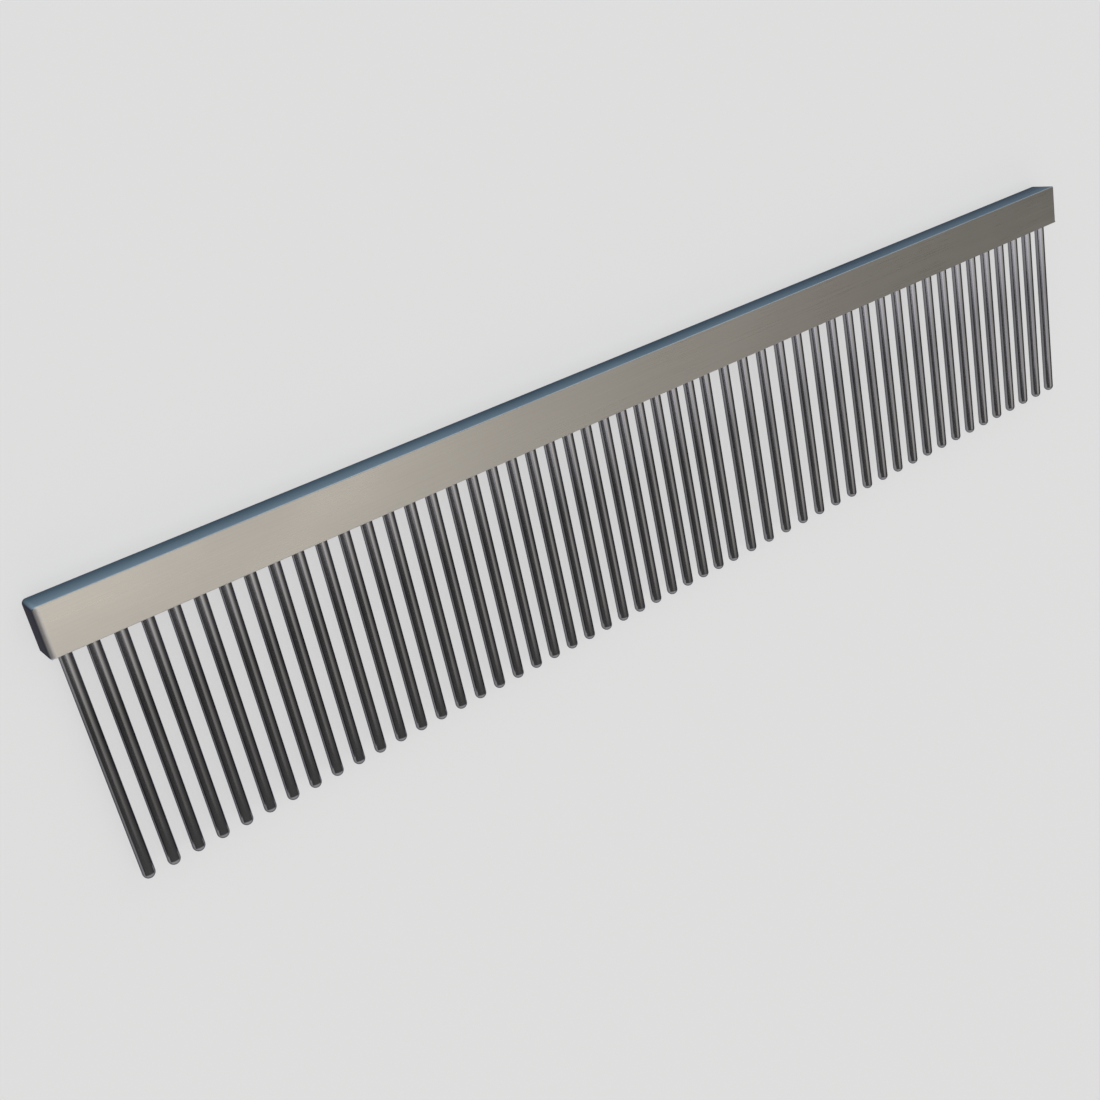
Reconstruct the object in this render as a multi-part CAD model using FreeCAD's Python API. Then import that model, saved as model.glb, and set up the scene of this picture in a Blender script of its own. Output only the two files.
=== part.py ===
import FreeCAD, Part
import math
import os

# Steel grooming comb lying on the back of its spine.
# X runs along the spine, the teeth point towards -Y, and the front face looks up (+Z).
# The origin is the middle of the overall footprint, on the resting plane.

# Spine bar
SPINE_HEIGHT = 6.4
SPINE_THICKNESS = 4.7
END_OVERHANG = 2.0
FRONT_END_RADIUS = 0.8
REAR_EDGE_RADIUS = 0.6

# Teeth: one run at fine pitch and one at coarse pitch; the step between the runs is coarse
FINE_COUNT = 31
FINE_PITCH = 3.3
COARSE_COUNT = 21
COARSE_PITCH = 4.0
TOOTH_DIAMETER = 1.6
TOOTH_REACH = 31.4
SEAT_DEPTH = 4.5

# Derived sizes
TOOTH_RADIUS = TOOTH_DIAMETER / 2
FINE_SPAN = (FINE_COUNT - 1) * FINE_PITCH
TOOTH_SPAN = FINE_SPAN + COARSE_COUNT * COARSE_PITCH
SPINE_LENGTH = TOOTH_SPAN + 2 * END_OVERHANG
HALF_LENGTH = SPINE_LENGTH / 2
OVERALL_HEIGHT = SPINE_HEIGHT + TOOTH_REACH
SPINE_TOP = OVERALL_HEIGHT / 2
SPINE_FOOT = SPINE_TOP - SPINE_HEIGHT
TOOTH_TIP = -OVERALL_HEIGHT / 2
SEAT_END = SPINE_FOOT + SEAT_DEPTH
TOOTH_LEVEL = SPINE_THICKNESS / 2
FIRST_TOOTH = -TOOTH_SPAN / 2
MARGIN = 5.0

UP_X = FreeCAD.Vector(1, 0, 0)
UP_Y = FreeCAD.Vector(0, 1, 0)
UP_Z = FreeCAD.Vector(0, 0, 1)


def vec(x, y, z):
    return FreeCAD.Vector(x, y, z)


def tooth_row(first, pitch, count):
    """X positions of one run of teeth."""
    return [first + pitch * index for index in range(count)]


def outline(corners, radii, to_3d):
    """Closed flat face through the corners (u, v), each rounded by its own radius."""
    path = []
    total = len(corners)
    for index, corner in enumerate(corners):
        before = corners[index - 1]
        after = corners[(index + 1) % total]
        path.append(corner_points(before, corner, after, radii[index]))
    edges = []
    for index, points in enumerate(path):
        if len(points) == 3:
            edges.append(Part.Arc(*[to_3d(*point) for point in points]).toShape())
        start = to_3d(*points[-1])
        end = to_3d(*path[(index + 1) % total][0])
        edges.append(Part.makeLine(start, end))
    return Part.Face(Part.Wire(edges))


def corner_points(before, corner, after, radius):
    """The corner itself, or the start, middle and end of the arc that rounds it."""
    if radius == 0:
        return [corner]
    back = direction(corner, before)
    ahead = direction(corner, after)
    start = (corner[0] + back[0] * radius, corner[1] + back[1] * radius)
    end = (corner[0] + ahead[0] * radius, corner[1] + ahead[1] * radius)
    centre = (start[0] + ahead[0] * radius, start[1] + ahead[1] * radius)
    outward = direction(centre, corner)
    middle = (centre[0] + outward[0] * radius, centre[1] + outward[1] * radius)
    return [start, middle, end]


def direction(start, end):
    """Unit vector in the plane from start to end."""
    length = math.hypot(end[0] - start[0], end[1] - start[1])
    return ((end[0] - start[0]) / length, (end[1] - start[1]) / length)


def spine_blank():
    """Solid bar: the front top edge is crisp, the ends and the rear edges are rounded."""
    plan = outline(
        [(-HALF_LENGTH, 0), (HALF_LENGTH, 0),
         (HALF_LENGTH, SPINE_THICKNESS), (-HALF_LENGTH, SPINE_THICKNESS)],
        [REAR_EDGE_RADIUS, REAR_EDGE_RADIUS, FRONT_END_RADIUS, FRONT_END_RADIUS],
        lambda x, z: vec(x, SPINE_FOOT, z))
    elevation = outline(
        [(-HALF_LENGTH, SPINE_FOOT - MARGIN), (HALF_LENGTH, SPINE_FOOT - MARGIN),
         (HALF_LENGTH, SPINE_TOP), (-HALF_LENGTH, SPINE_TOP)],
        [0, 0, REAR_EDGE_RADIUS, REAR_EDGE_RADIUS],
        lambda x, y: vec(x, y, -MARGIN))
    section = outline(
        [(SPINE_FOOT - MARGIN, 0), (SPINE_TOP, 0),
         (SPINE_TOP, SPINE_THICKNESS + MARGIN), (SPINE_FOOT - MARGIN, SPINE_THICKNESS + MARGIN)],
        [0, REAR_EDGE_RADIUS, 0, 0],
        lambda y, z: vec(-HALF_LENGTH - MARGIN, y, z))
    bar = plan.extrude(UP_Y * SPINE_HEIGHT)
    end_shape = elevation.extrude(UP_Z * (SPINE_THICKNESS + 2 * MARGIN))
    long_shape = section.extrude(UP_X * (SPINE_LENGTH + 2 * MARGIN))
    return bar.common(end_shape).common(long_shape)


def seat(x):
    """Blind hole in the underside of the spine for one tooth."""
    return Part.makeCylinder(TOOTH_RADIUS, SEAT_DEPTH, vec(x, SPINE_FOOT, TOOTH_LEVEL), UP_Y)


def spine(tooth_places):
    holes = Part.makeCompound([seat(x) for x in tooth_places])
    return spine_blank().cut(holes)


def tooth(x):
    """Plain round pin with a domed tip; its flat end stands on the floor of its blind hole."""
    dome_start = TOOTH_TIP + TOOTH_RADIUS
    dome_side = TOOTH_RADIUS * math.sqrt(0.5)
    seat_centre = vec(x, SEAT_END, TOOTH_LEVEL)
    seat_rim = vec(x + TOOTH_RADIUS, SEAT_END, TOOTH_LEVEL)
    dome_rim = vec(x + TOOTH_RADIUS, dome_start, TOOTH_LEVEL)
    dome_middle = vec(x + dome_side, dome_start - dome_side, TOOTH_LEVEL)
    tip = vec(x, TOOTH_TIP, TOOTH_LEVEL)
    edges = [
        Part.makeLine(seat_centre, seat_rim),
        Part.makeLine(seat_rim, dome_rim),
        Part.Arc(dome_rim, dome_middle, tip).toShape(),
        Part.makeLine(tip, seat_centre),
    ]
    return Part.Face(Part.Wire(edges)).revolve(seat_centre, UP_Y, 360)


def single_solid(shape):
    """The one solid held by a shape."""
    solids = shape.Solids
    if len(solids) != 1:
        raise ValueError("expected one solid, found %d" % len(solids))
    return solids[0]


def export(shape, name):
    single_solid(shape).exportStep("parts/%s.step" % name)


def main():
    os.makedirs("parts", exist_ok=True)
    fine = tooth_row(FIRST_TOOTH, FINE_PITCH, FINE_COUNT)
    coarse = tooth_row(FIRST_TOOTH + FINE_SPAN + COARSE_PITCH, COARSE_PITCH, COARSE_COUNT)
    export(spine(fine + coarse), "spine")
    for number, x in enumerate(fine, start=1):
        export(tooth(x), "fine_tooth_%02d" % number)
    for number, x in enumerate(coarse, start=1):
        export(tooth(x), "coarse_tooth_%02d" % number)


main()
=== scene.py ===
import math

import bmesh
import bpy
from mathutils import Matrix, Vector


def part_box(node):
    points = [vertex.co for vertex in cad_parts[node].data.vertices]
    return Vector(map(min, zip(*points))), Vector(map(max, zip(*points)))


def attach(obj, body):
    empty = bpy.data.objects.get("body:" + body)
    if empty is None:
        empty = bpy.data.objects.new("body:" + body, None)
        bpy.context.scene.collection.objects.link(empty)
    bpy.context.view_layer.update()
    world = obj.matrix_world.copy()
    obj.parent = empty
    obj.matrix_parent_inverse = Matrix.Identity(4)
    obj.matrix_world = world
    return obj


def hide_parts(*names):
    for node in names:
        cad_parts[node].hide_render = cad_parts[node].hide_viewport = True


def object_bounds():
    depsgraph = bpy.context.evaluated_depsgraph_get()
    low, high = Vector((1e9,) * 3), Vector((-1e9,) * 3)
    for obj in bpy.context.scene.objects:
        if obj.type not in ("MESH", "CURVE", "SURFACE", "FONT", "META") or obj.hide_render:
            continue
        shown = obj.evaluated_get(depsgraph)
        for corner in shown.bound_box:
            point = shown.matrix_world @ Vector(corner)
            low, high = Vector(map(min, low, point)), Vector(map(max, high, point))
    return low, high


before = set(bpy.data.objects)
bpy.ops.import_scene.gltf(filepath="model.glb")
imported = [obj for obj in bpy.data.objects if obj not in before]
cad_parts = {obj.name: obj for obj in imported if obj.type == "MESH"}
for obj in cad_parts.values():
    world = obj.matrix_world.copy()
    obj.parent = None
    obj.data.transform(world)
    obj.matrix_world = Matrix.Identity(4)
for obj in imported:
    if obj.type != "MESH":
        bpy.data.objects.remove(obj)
CAD_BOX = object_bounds()

MM = 0.001

# The comb, as the frame gives it: it lies on its back, with its tips towards -Y
SPINE_LOW, SPINE_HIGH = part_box("spine")
TOOTH_NAMES = sorted(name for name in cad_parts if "_tooth_" in name)
TIP_END = CAD_BOX[0].y

# Edges of the spine, of its holes and of the seated ends of the teeth
FRONT_END_RADIUS = 0.8 * MM
REAR_EDGE_RADIUS = 0.6 * MM
EDGE_BREAK = 0.12 * MM
HOLE_CLEARANCE = 0.004 * MM
HOLE_CHAMFER = 0.12 * MM

# Meshing
ROUND_STEPS = 40
SHAFT_RINGS = 6
DOME_RINGS = 12
BEVEL_STEPS = 6
TOOTH_SHARP_ANGLE = math.radians(40)
SPINE_SHARP_ANGLE = math.radians(35)

# Camera: it looks down on the front face from beyond the fine-toothed end of the spine
CAMERA_PLACE = Vector((-119.2, 67.3, 147.5)) * MM
SIGHT_LINE = Vector((0.5011, -0.3776, -0.7786))
CAMERA_UP = Vector((0.3803, 0.9043, -0.1939))
SENSOR = 36.0
FIELD_OF_VIEW = math.radians(45)
NEAR_CLIP = 1 * MM
FAR_CLIP = 20

# Colours
WHITE = (1, 1, 1, 1)
FACE_STEEL = (0.60, 0.57, 0.53, 1)
# The top of the spine is painted in shade: darker and cooler than the front
TOP_PAINTED_SHADE_STEEL = (0.20, 0.272, 0.33, 1)
# The ends of the spine are painted in dark shade
END_PAINTED_SHADE_STEEL = (0.115, 0.115, 0.122, 1)
SPINE_RIM = (0.24, 0.24, 0.27, 1)
TOOTH_STEEL_LIGHT = (0.33, 0.325, 0.335, 1)
TOOTH_STEEL_DARK = (0.22, 0.22, 0.235, 1)
TOOTH_RIM = (0.12, 0.12, 0.18, 1)

# Where the spine's colours meet, as shares of a unit normal, and the painted light across its top
BROAD_START = 0.45
BROAD_FULL = 0.95
UPRIGHT_START = 0.3
UPRIGHT_FULL = 0.7
# Painted shade at the rear of the top, and a painted highlight towards its front edge
TOP_PAINTED_SHADE_REAR = 0.64
TOP_PAINTED_HIGHLIGHT_FRONT = 1.85

# Painted light along a tooth: painted shade on the shaft, and the painted highlight that the root and the
# tip add to it
SHAFT_PAINTED_SHADE = 0.74
ROOT_PAINTED_HIGHLIGHT = 0.44
ROOT_FADE = 13 * MM
TIP_PAINTED_HIGHLIGHT = 0.22
TIP_FADE = 12 * MM

# Steel finish: scales are per metre along X, Y and Z, and a noise has a detail and a roughness
SPINE_GRAIN = (60, 12000, 12000)
SPINE_GRAIN_DEPTH = 0.0015 * MM
SPINE_ROUGHNESS = (0.26, 0.36)
TOOTH_GRAIN = (9000, 60, 9000)
TOOTH_GRAIN_DEPTH = 0.001 * MM
TOOTH_ROUGHNESS = (0.10, 0.17)
GRAIN_NOISE = (3.0, 0.6)
MARKS_SCALE = (90, 140, 140)
MARKS_NOISE = (4.0, 0.55)
DRIFT_SCALE = (18, 30, 30)
DRIFT_NOISE = (2.0, 0.5)
WIRE_SCALE = (60, 60, 60)
WIRE_NOISE = (2.0, 0.5)
MAIN_SHARE = 0.6
NOISE_RANGE = (0.35, 0.65)
SHADE_RANGE = (0.88, 1.06)
BUMP_STRENGTH = 0.5

# Floor and cove: a pale light table, part glow and part matt, with a glowing wall round it
FLOOR_GREY = 0.26
FLOOR_GLOW = 0.552
FLOOR_HALF = 3.0
COVE_SIDES = 96
COVE_RADIUS = 0.99 * FLOOR_HALF
COVE_TOP = 4.0
COVE_GLOW = 0.730
STAGE_ROUGHNESS = 0.9

# Studio light: directions are unit vectors, so all the limits below are shares of one
DOME_COLOUR = (0.13, 0.128, 0.122, 1)

# Strip overhead: it rises, fades and ends along X, and has a core and an edge across Y
STRIP_COLOUR = (1.30, 1.26, 1.18, 1)
STRIP_START = -0.40
STRIP_FULL = -0.02
STRIP_FADES = 0.03
STRIP_END = 0.92
STRIP_MIDDLE = -0.22
STRIP_CORE = 0.10
STRIP_EDGE = 0.30

# Rear bank: all of +Y from an edge that moves with X, and bright where it reaches over to -Y
BANK_COLOUR = (0.85, 0.85, 0.85, 1)
BRIGHT_COLOUR = (1.55, 1.55, 1.62, 1)
BRIGHT_FADES = -0.20
BRIGHT_ENDS = -0.02
BANK_START = -0.345
BANK_FULL = -0.275
BANK_TURN = 0.075
BANK_TURN_FROM = -0.80
BANK_TURN_TO = -0.60
BANK_SHIFT = 0.68
BANK_SHIFT_FROM = -0.25
BANK_SHIFT_TO = 0.15

# Front bank: far out along -Y. Far bank: far out along +X, down to a little on the -Y side
FRONT_BANK_START = -0.56
FRONT_BANK_FULL = -0.72
FAR_BANK_START = 0.86
FAR_BANK_FULL = 0.93
FAR_BANK_LOW = -0.16
FAR_BANK_HIGH = -0.08


def link(name, data):
    thing = bpy.data.objects.new(name, data)
    bpy.context.scene.collection.objects.link(thing)
    return thing


def mesh_from(shape, name):
    """Turns a bmesh into a mesh and frees it."""
    mesh = bpy.data.meshes.new(name)
    shape.to_mesh(mesh)
    shape.free()
    return mesh


# Geometry ---------------------------------------------------------------------------------

def lathe(profile, steps):
    """Closed solid turned about Y; profile is (radius, y) from end to end, both on the axis."""
    shape = bmesh.new()
    rings = []
    for radius, y in profile:
        if radius == 0:
            rings.append([shape.verts.new((0, y, 0))])
            continue
        angles = [2 * math.pi * step / steps for step in range(steps)]
        rings.append([shape.verts.new((radius * math.cos(a), y, radius * math.sin(a))) for a in angles])
    for lower, upper in zip(rings, rings[1:]):
        for step in range(steps):
            after = (step + 1) % steps
            corners = [lower[step % len(lower)], lower[after % len(lower)],
                       upper[after % len(upper)], upper[step % len(upper)]]
            unique = list(dict.fromkeys(corners))
            shape.faces.new(unique)
    bmesh.ops.recalc_face_normals(shape, faces=shape.faces)
    return shape


def tooth_shape(low, high):
    """A round pin from its flat seated end at high.y to its domed tip at low.y."""
    radius = (high.x - low.x) / 2
    shaft_start = high.y - EDGE_BREAK
    dome_start = low.y + radius
    profile = [(0, high.y), (radius - EDGE_BREAK, high.y), (radius, shaft_start)]
    for ring in range(1, SHAFT_RINGS + 1):
        profile.append((radius, shaft_start + (dome_start - shaft_start) * ring / SHAFT_RINGS))
    for ring in range(1, DOME_RINGS):
        turn = math.pi / 2 * ring / DOME_RINGS
        profile.append((radius * math.cos(turn), dome_start - radius * math.sin(turn)))
    profile.append((0, low.y))
    return lathe(profile, ROUND_STEPS)


def make_teeth(material):
    """One pin mesh, placed once for every tooth node."""
    low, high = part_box(TOOTH_NAMES[0])
    mesh = mesh_from(tooth_shape(low, high), "tooth_pin")
    mesh.shade_smooth()
    mesh.set_sharp_from_angle(angle=TOOTH_SHARP_ANGLE)
    mesh.materials.append(material)
    for name in TOOTH_NAMES:
        low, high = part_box(name)
        piece = link(name + "_pin", mesh)
        piece.location = ((low.x + high.x) / 2, 0, (low.z + high.z) / 2)
        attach(piece, "root")
        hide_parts(name)


def edge_radius(edge, middle):
    """Radius for one edge of the square bar, by where it lies and which way it runs."""
    centre = (edge.verts[0].co + edge.verts[1].co) / 2
    run = edge.verts[1].co - edge.verts[0].co
    along = max("xyz", key=lambda axis: abs(getattr(run, axis)))
    at_top = centre.y > middle.y
    at_front = centre.z > middle.z
    if along == "y":
        return FRONT_END_RADIUS if at_front else REAR_EDGE_RADIUS
    if along == "z":
        return REAR_EDGE_RADIUS if at_top else EDGE_BREAK
    return REAR_EDGE_RADIUS if at_top and not at_front else EDGE_BREAK


def bar_blank():
    """Square bar, with a bevel weight on every edge: its radius as a share of the largest."""
    shape = bmesh.new()
    bmesh.ops.create_cube(shape, size=1)
    size = SPINE_HIGH - SPINE_LOW
    middle = (SPINE_HIGH + SPINE_LOW) / 2
    stretch = Matrix.Translation(middle) @ Matrix.Diagonal((*size, 1))
    bmesh.ops.transform(shape, matrix=stretch, verts=shape.verts)
    weights = shape.edges.layers.float.new("bevel_weight_edge")
    for edge in shape.edges:
        edge[weights] = edge_radius(edge, middle) / FRONT_END_RADIUS
    return mesh_from(shape, "spine_blank")


def hole_shape(low, high):
    """Cutter for one tooth's hole; its cone runs out through the foot of the spine."""
    radius = (high.x - low.x) / 2 + HOLE_CLEARANCE
    end = high.y + HOLE_CLEARANCE
    cone_start = SPINE_LOW.y + HOLE_CHAMFER
    cone_end = SPINE_LOW.y - HOLE_CHAMFER
    cone_radius = radius + cone_start - cone_end
    profile = [(0, end), (radius, end), (radius, cone_start), (cone_radius, cone_end), (0, cone_end)]
    hole = lathe(profile, ROUND_STEPS)
    bmesh.ops.translate(hole, vec=((low.x + high.x) / 2, 0, (low.z + high.z) / 2), verts=hole.verts)
    return hole


def hole_cutters():
    """The cutters of all the teeth, joined into a single mesh."""
    cutters = bmesh.new()
    for name in TOOTH_NAMES:
        scratch = mesh_from(hole_shape(*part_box(name)), "hole")
        cutters.from_mesh(scratch)
        bpy.data.meshes.remove(scratch)
    return mesh_from(cutters, "hole_cutters")


def make_spine(material):
    """Solid bar: bevelled by edge weight, drilled, and shaded flat on its flats."""
    blank = link("spine_blank", bar_blank())
    bevel = blank.modifiers.new("edges", "BEVEL")
    bevel.limit_method = "WEIGHT"
    bevel.width = FRONT_END_RADIUS
    bevel.segments = BEVEL_STEPS
    cutter = link("hole_cutters", hole_cutters())
    drill = blank.modifiers.new("holes", "BOOLEAN")
    drill.operation = "DIFFERENCE"
    drill.solver = "EXACT"
    drill.object = cutter
    bpy.context.view_layer.update()
    finished = blank.evaluated_get(bpy.context.evaluated_depsgraph_get())
    mesh = bpy.data.meshes.new_from_object(finished)
    mesh.name = "spine_bar_drilled"
    for extra in (blank, cutter):
        bpy.data.objects.remove(extra)
    mesh.shade_smooth()
    mesh.set_sharp_from_angle(angle=SPINE_SHARP_ANGLE)
    mesh.materials.clear()
    mesh.materials.append(material)
    piece = link("spine_bar", mesh)
    normals = piece.modifiers.new("flat_faces", "WEIGHTED_NORMAL")
    normals.keep_sharp = True
    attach(piece, "root")
    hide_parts("spine")


# Materials --------------------------------------------------------------------------------

class Nodes:
    """Short calls for building the node tree of one material or world."""

    def __init__(self, owner, shader):
        owner.use_nodes = True
        self.owner = owner
        self.tree = owner.node_tree
        self.shader = self.tree.nodes[shader]

    @classmethod
    def for_material(cls, name):
        return cls(bpy.data.materials.new(name), "Principled BSDF")

    @classmethod
    def for_world(cls, name):
        return cls(bpy.data.worlds.new(name), "Background")

    def add(self, kind, inputs=None, **settings):
        node = self.tree.nodes.new(kind)
        for key, value in settings.items():
            setattr(node, key, value)
        for key, value in (inputs or {}).items():
            self.feed(node.inputs[key], value)
        return node

    def feed(self, socket, value):
        if isinstance(value, bpy.types.NodeSocket):
            self.tree.links.new(value, socket)
        else:
            socket.default_value = value

    def set(self, name, value):
        """Gives one of the shader's own sockets a value or a link."""
        self.feed(self.shader.inputs[name], value)

    def math(self, operation, first, second=0.0):
        return self.add("ShaderNodeMath", {0: first, 1: second}, operation=operation).outputs[0]

    def remap(self, value, start, end, low, high, shape="LINEAR"):
        """Goes from low to high while value goes from start to end, and stays level outside that."""
        inputs = {"Value": value, "From Min": start, "From Max": end, "To Min": low, "To Max": high}
        return self.add("ShaderNodeMapRange", inputs, interpolation_type=shape).outputs["Result"]

    def fade(self, value, start, end, low=0.0, high=1.0):
        return self.remap(value, start, end, low, high, "SMOOTHSTEP")

    def axes(self, vector):
        """The X, Y and Z of a vector."""
        return self.add("ShaderNodeSeparateXYZ", {"Vector": vector}).outputs

    def place(self):
        """Object coordinates, in metres."""
        return self.add("ShaderNodeTexCoord").outputs["Object"]

    def noise(self, scale, detail, roughness):
        stretched = self.add("ShaderNodeMapping", {"Vector": self.place(), "Scale": scale})
        inputs = {"Vector": stretched.outputs["Vector"], "Scale": 1.0, "Detail": detail,
                  "Roughness": roughness}
        return self.add("ShaderNodeTexNoise", inputs).outputs["Fac"]

    def blend(self, main, other):
        """Two noises added up, with the larger share to the main one."""
        main_part = self.math("MULTIPLY", main, MAIN_SHARE)
        other_part = self.math("MULTIPLY", other, 1 - MAIN_SHARE)
        return self.math("ADD", main_part, other_part)

    def mix(self, share, first, second):
        node = self.add("ShaderNodeMix", {0: share, 6: first, 7: second}, data_type="RGBA")
        return node.outputs[2]

    def scaled(self, colour, factor):
        node = self.add("ShaderNodeVectorMath", {0: colour}, operation="SCALE")
        self.feed(node.inputs["Scale"], factor)
        return node.outputs[0]


def steel(name, colour, rim_tint, grain_scale, grain_depth, roughness):
    """Satin steel: fine lines along one axis, faint handling marks and a little tonal drift."""
    nodes = Nodes.for_material(name)
    grain = nodes.noise(grain_scale, *GRAIN_NOISE)
    marks = nodes.noise(MARKS_SCALE, *MARKS_NOISE)
    drift = nodes.noise(DRIFT_SCALE, *DRIFT_NOISE)
    shade = nodes.remap(nodes.blend(drift, grain), *NOISE_RANGE, *SHADE_RANGE)
    bump = nodes.add("ShaderNodeBump", {"Height": grain, "Distance": grain_depth, "Strength": BUMP_STRENGTH})
    nodes.set("Base Color", nodes.scaled(colour(nodes), shade))
    nodes.set("Roughness", nodes.remap(nodes.blend(grain, marks), *NOISE_RANGE, *roughness))
    nodes.set("Normal", bump.outputs["Normal"])
    nodes.set("Metallic", 1.0)
    nodes.set("Specular Tint", rim_tint)
    return nodes.owner


def spine_colour(nodes):
    """Warm front, back and foot; a top in cooler painted shade, darker to the rear with a painted highlight
    towards the front; ends in dark painted shade.
    """
    facing = nodes.axes(nodes.add("ShaderNodeTexCoord").outputs["Normal"])
    broad = nodes.remap(nodes.math("ABSOLUTE", facing["Z"]), BROAD_START, BROAD_FULL, 0.0, 1.0)
    upright = nodes.remap(facing["Y"], UPRIGHT_START, UPRIGHT_FULL, 0.0, 1.0)
    under = nodes.remap(facing["Y"], -UPRIGHT_FULL, -UPRIGHT_START, 1.0, 0.0)
    height = nodes.axes(nodes.place())["Z"]
    # Painted light across the top: painted shade to the rear, painted highlight to the front
    painted_light = nodes.remap(height, SPINE_LOW.z, SPINE_HIGH.z, TOP_PAINTED_SHADE_REAR, TOP_PAINTED_HIGHLIGHT_FRONT)
    top = nodes.scaled(TOP_PAINTED_SHADE_STEEL[:3], painted_light)
    # Painted shade on the ends, and on the top in its cooler colour
    top_or_end = nodes.mix(upright, END_PAINTED_SHADE_STEEL, top)
    return nodes.mix(nodes.math("MAXIMUM", broad, under), top_or_end, FACE_STEEL)


def tooth_colour(nodes):
    """Drawn wire of mottled tone, with a painted highlight close to the spine, painted shade along its
    middle and a painted highlight again at the tip.
    """
    wire = nodes.mix(nodes.noise(WIRE_SCALE, *WIRE_NOISE), TOOTH_STEEL_DARK, TOOTH_STEEL_LIGHT)
    along = nodes.axes(nodes.place())["Y"]
    # Painted highlight at the root and the tip; the shaft's own factor is painted shade
    root = nodes.fade(along, SPINE_LOW.y - ROOT_FADE, SPINE_LOW.y, 0.0, ROOT_PAINTED_HIGHLIGHT)
    tip = nodes.fade(along, TIP_END, TIP_END + TIP_FADE, TIP_PAINTED_HIGHLIGHT, 0.0)
    painted_light = nodes.math("ADD", nodes.math("ADD", root, tip), SHAFT_PAINTED_SHADE)
    return nodes.scaled(wire, painted_light)


def glowing(name, grey, glow):
    """Matt surface of one grey that also gives off an even white glow."""
    nodes = Nodes.for_material(name)
    nodes.set("Base Color", (grey, grey, grey, 1))
    nodes.set("Roughness", STAGE_ROUGHNESS)
    nodes.set("Specular IOR Level", 0.0)
    nodes.set("Emission Color", WHITE)
    nodes.set("Emission Strength", glow)
    return nodes.owner


# Stage ------------------------------------------------------------------------------------

def make_floor():
    shape = bmesh.new()
    bmesh.ops.create_grid(shape, x_segments=1, y_segments=1, size=FLOOR_HALF)
    mesh = mesh_from(shape, "floor")
    mesh.materials.append(glowing("pale_floor", FLOOR_GREY, FLOOR_GLOW))
    link("floor", mesh)


def make_cove():
    """Pale round wall at the edge of the floor; the studio light passes through it."""
    shape = bmesh.new()
    bmesh.ops.create_circle(shape, segments=COVE_SIDES, radius=COVE_RADIUS, cap_ends=False)
    walls = bmesh.ops.extrude_edge_only(shape, edges=shape.edges[:])
    raised = [part for part in walls["geom"] if isinstance(part, bmesh.types.BMVert)]
    bmesh.ops.translate(shape, vec=(0, 0, COVE_TOP), verts=raised)
    mesh = mesh_from(shape, "cove")
    mesh.materials.append(glowing("pale_cove", 0, COVE_GLOW))
    cove = link("cove", mesh)
    cove.visible_diffuse = False
    cove.visible_glossy = False
    cove.visible_shadow = False


def strip_share(nodes, x, y):
    """Soft strip along X, nearly overhead."""
    rise = nodes.fade(x, STRIP_START, STRIP_FULL)
    fall = nodes.fade(x, STRIP_FADES, STRIP_END, 1.0, 0.0)
    off_middle = nodes.math("ABSOLUTE", nodes.math("SUBTRACT", y, STRIP_MIDDLE))
    across = nodes.fade(off_middle, STRIP_CORE, STRIP_EDGE, 1.0, 0.0)
    return nodes.math("MULTIPLY", nodes.math("MULTIPLY", rise, fall), across)


def rear_bank_share(nodes, x, y):
    """Broad light on the +Y side; its edge draws back a little at -X and a good way at +X."""
    turn = nodes.remap(x, BANK_TURN_FROM, BANK_TURN_TO, BANK_TURN, 0.0)
    shift = nodes.remap(x, BANK_SHIFT_FROM, BANK_SHIFT_TO, 0.0, BANK_SHIFT)
    behind = nodes.math("SUBTRACT", y, nodes.math("ADD", shift, turn))
    return nodes.fade(behind, BANK_START, BANK_FULL)


def far_bank_share(nodes, x, y):
    """Small light beyond the coarse-toothed end."""
    beyond = nodes.fade(x, FAR_BANK_START, FAR_BANK_FULL)
    above = nodes.fade(y, FAR_BANK_LOW, FAR_BANK_HIGH)
    return nodes.math("MULTIPLY", beyond, above)


def make_world():
    """Studio light: a dim dome with a warm strip overhead and white banks behind, in front and far off."""
    nodes = Nodes.for_world("studio")
    direction = nodes.axes(nodes.add("ShaderNodeTexCoord").outputs["Generated"])
    x = direction["X"]
    y = direction["Y"]
    rear = rear_bank_share(nodes, x, y)
    front = nodes.fade(y, FRONT_BANK_START, FRONT_BANK_FULL)
    far = far_bank_share(nodes, x, y)
    plain = nodes.math("MAXIMUM", nodes.remap(y, BRIGHT_FADES, BRIGHT_ENDS, 0.0, 1.0), front)
    bank_colour = nodes.mix(plain, BRIGHT_COLOUR, BANK_COLOUR)
    banks = nodes.math("MAXIMUM", nodes.math("MAXIMUM", rear, front), far)
    banked = nodes.mix(banks, DOME_COLOUR, bank_colour)
    nodes.set("Color", nodes.mix(strip_share(nodes, x, y), banked, STRIP_COLOUR))
    bpy.context.scene.world = nodes.owner


def make_camera():
    data = bpy.data.cameras.new("camera")
    data.sensor_width = SENSOR
    data.lens = SENSOR / 2 / math.tan(FIELD_OF_VIEW / 2)
    data.clip_start = NEAR_CLIP
    data.clip_end = FAR_CLIP
    back = -SIGHT_LINE.normalized()
    side = CAMERA_UP.cross(back).normalized()
    turn = Matrix((side, back.cross(side), back)).transposed().to_4x4()
    camera = link("camera", data)
    camera.matrix_world = Matrix.Translation(CAMERA_PLACE) @ turn
    bpy.context.scene.camera = camera


make_floor()
make_cove()
make_world()
make_camera()
bpy.context.scene.view_settings.view_transform = "Standard"

make_spine(steel("spine_steel", spine_colour, SPINE_RIM, SPINE_GRAIN, SPINE_GRAIN_DEPTH, SPINE_ROUGHNESS))
make_teeth(steel("tooth_steel", tooth_colour, TOOTH_RIM, TOOTH_GRAIN, TOOTH_GRAIN_DEPTH, TOOTH_ROUGHNESS))
